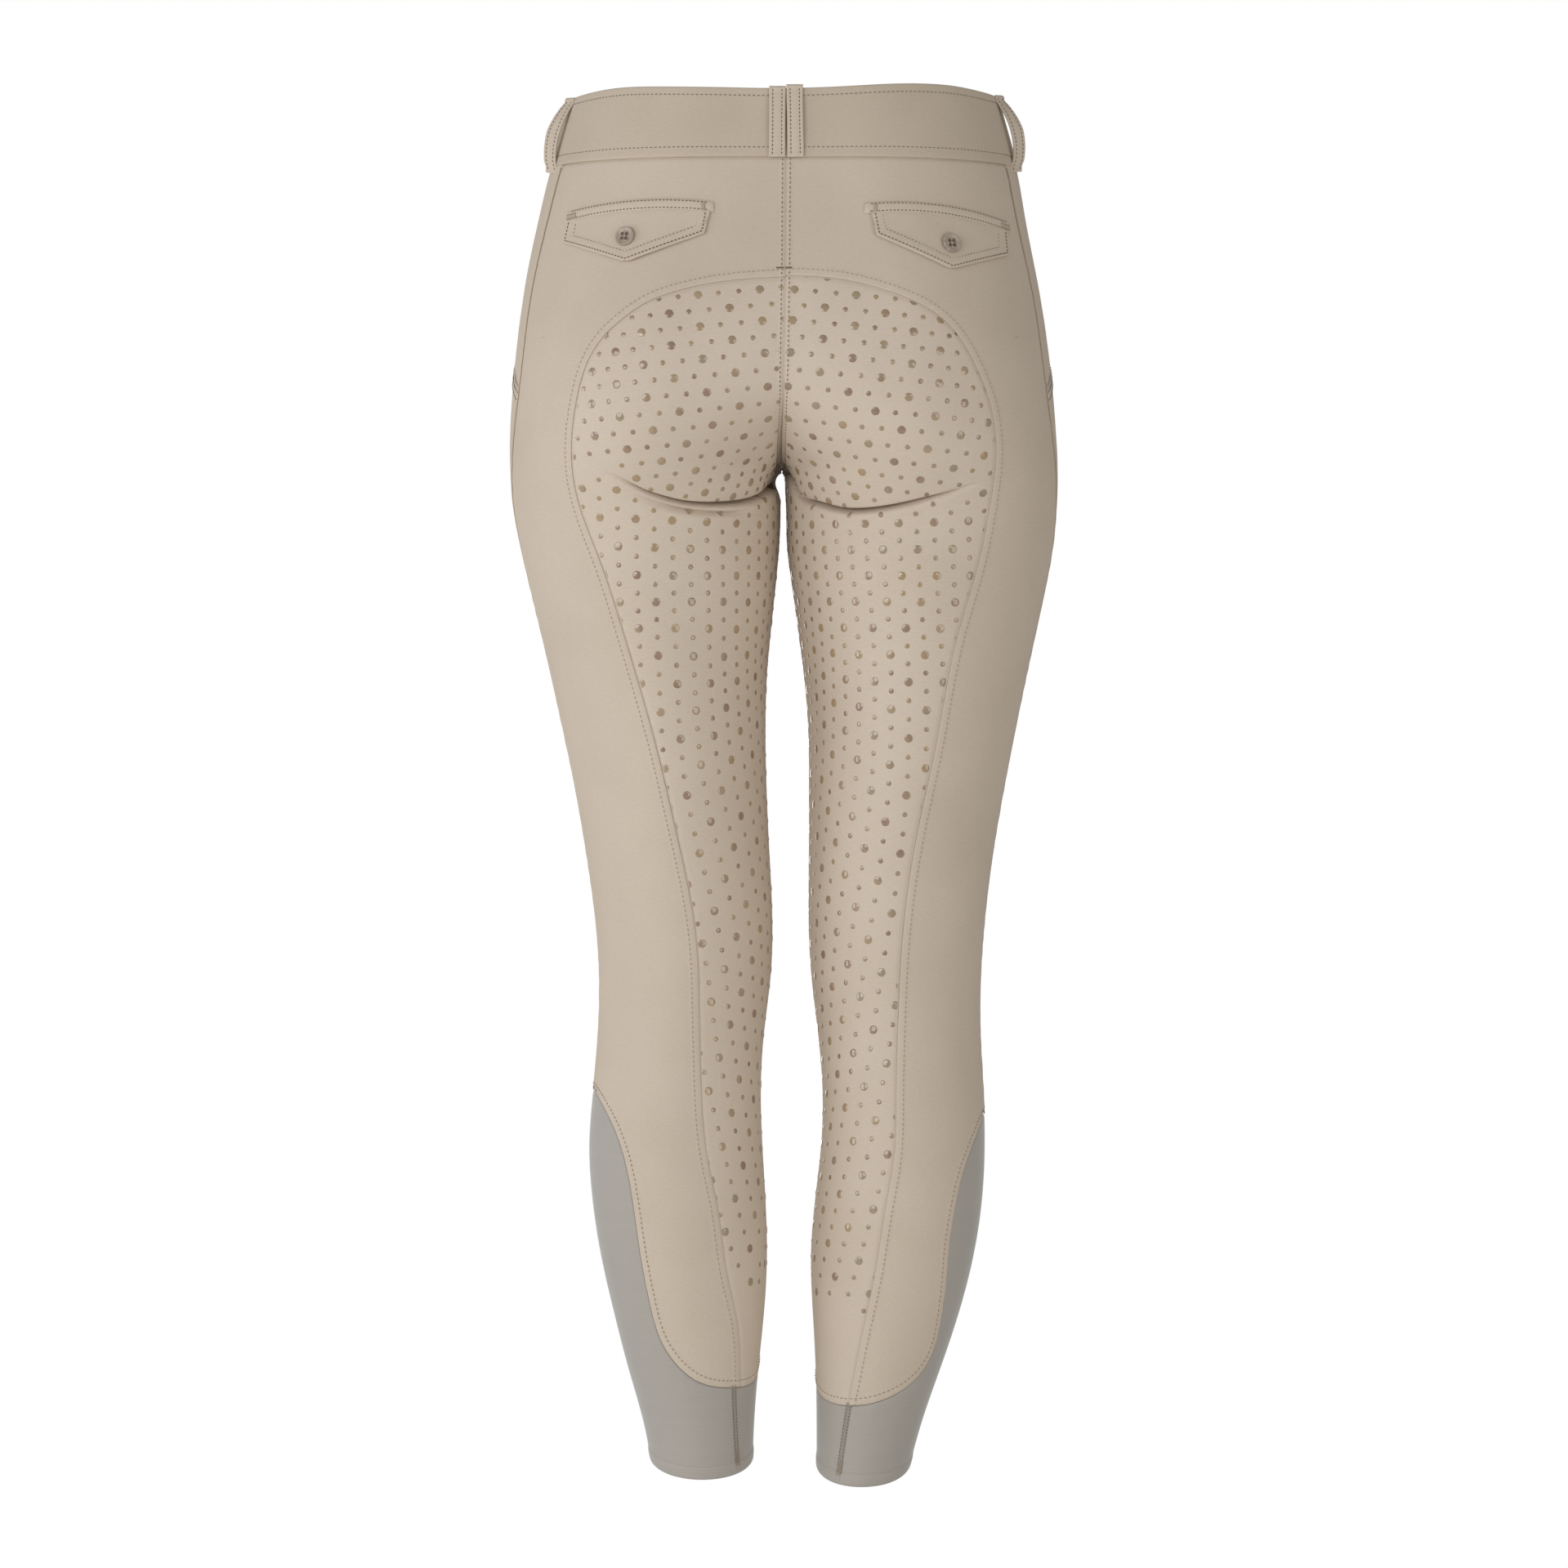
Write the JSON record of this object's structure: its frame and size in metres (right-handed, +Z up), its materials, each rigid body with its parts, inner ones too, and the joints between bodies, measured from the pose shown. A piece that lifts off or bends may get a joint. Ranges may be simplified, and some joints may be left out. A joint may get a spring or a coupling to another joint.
{
  "type": "riding breeches",
  "caption": "Full-seat riding breeches in stretch cloth with a waistband, belt loops, flapped hip pockets and stretch lower legs, worn hollow form.",
  "frame": {"origin": "centre of the waist opening at the top of the band", "axes": "+Z up along the body, -Y out of the seat, +Y out of the front, +X to the wearer's right leg"},
  "size_m": [0.3743, 0.238, 0.9484],
  "materials": {
    "stretch_cloth": "matt two-way stretch woven cloth",
    "seat_cloth": "matt stretch cloth printed with silicone grip dots",
    "sock_jersey": "fine elastic jersey, slight sheen",
    "button_resin": "cast resin, satin"
  },
  "bodies": {
    "root": {"waistband_left": "stretch_cloth", "waistband_right": "stretch_cloth", "back_left": "stretch_cloth", "back_right": "stretch_cloth", "front_left": "stretch_cloth", "front_right": "stretch_cloth", "seat_left": "seat_cloth", "seat_right": "seat_cloth", "pocket_facing_left": "stretch_cloth", "pocket_facing_right": "stretch_cloth", "sock_left": "sock_jersey", "sock_right": "sock_jersey", "pocket_welt_left": "stretch_cloth", "pocket_welt_right": "stretch_cloth", "pocket_flap_left": "stretch_cloth", "pocket_flap_right": "stretch_cloth", "flap_button_left": "button_resin", "flap_button_right": "button_resin", "belt_loop_back_left": "stretch_cloth", "belt_loop_back_right": "stretch_cloth", "belt_loop_side_left": "stretch_cloth", "belt_loop_side_right": "stretch_cloth", "belt_loop_front_left": "stretch_cloth", "belt_loop_front_right": "stretch_cloth", "fly": "stretch_cloth", "waist_button": "button_resin"}
  },
  "joints": []
}
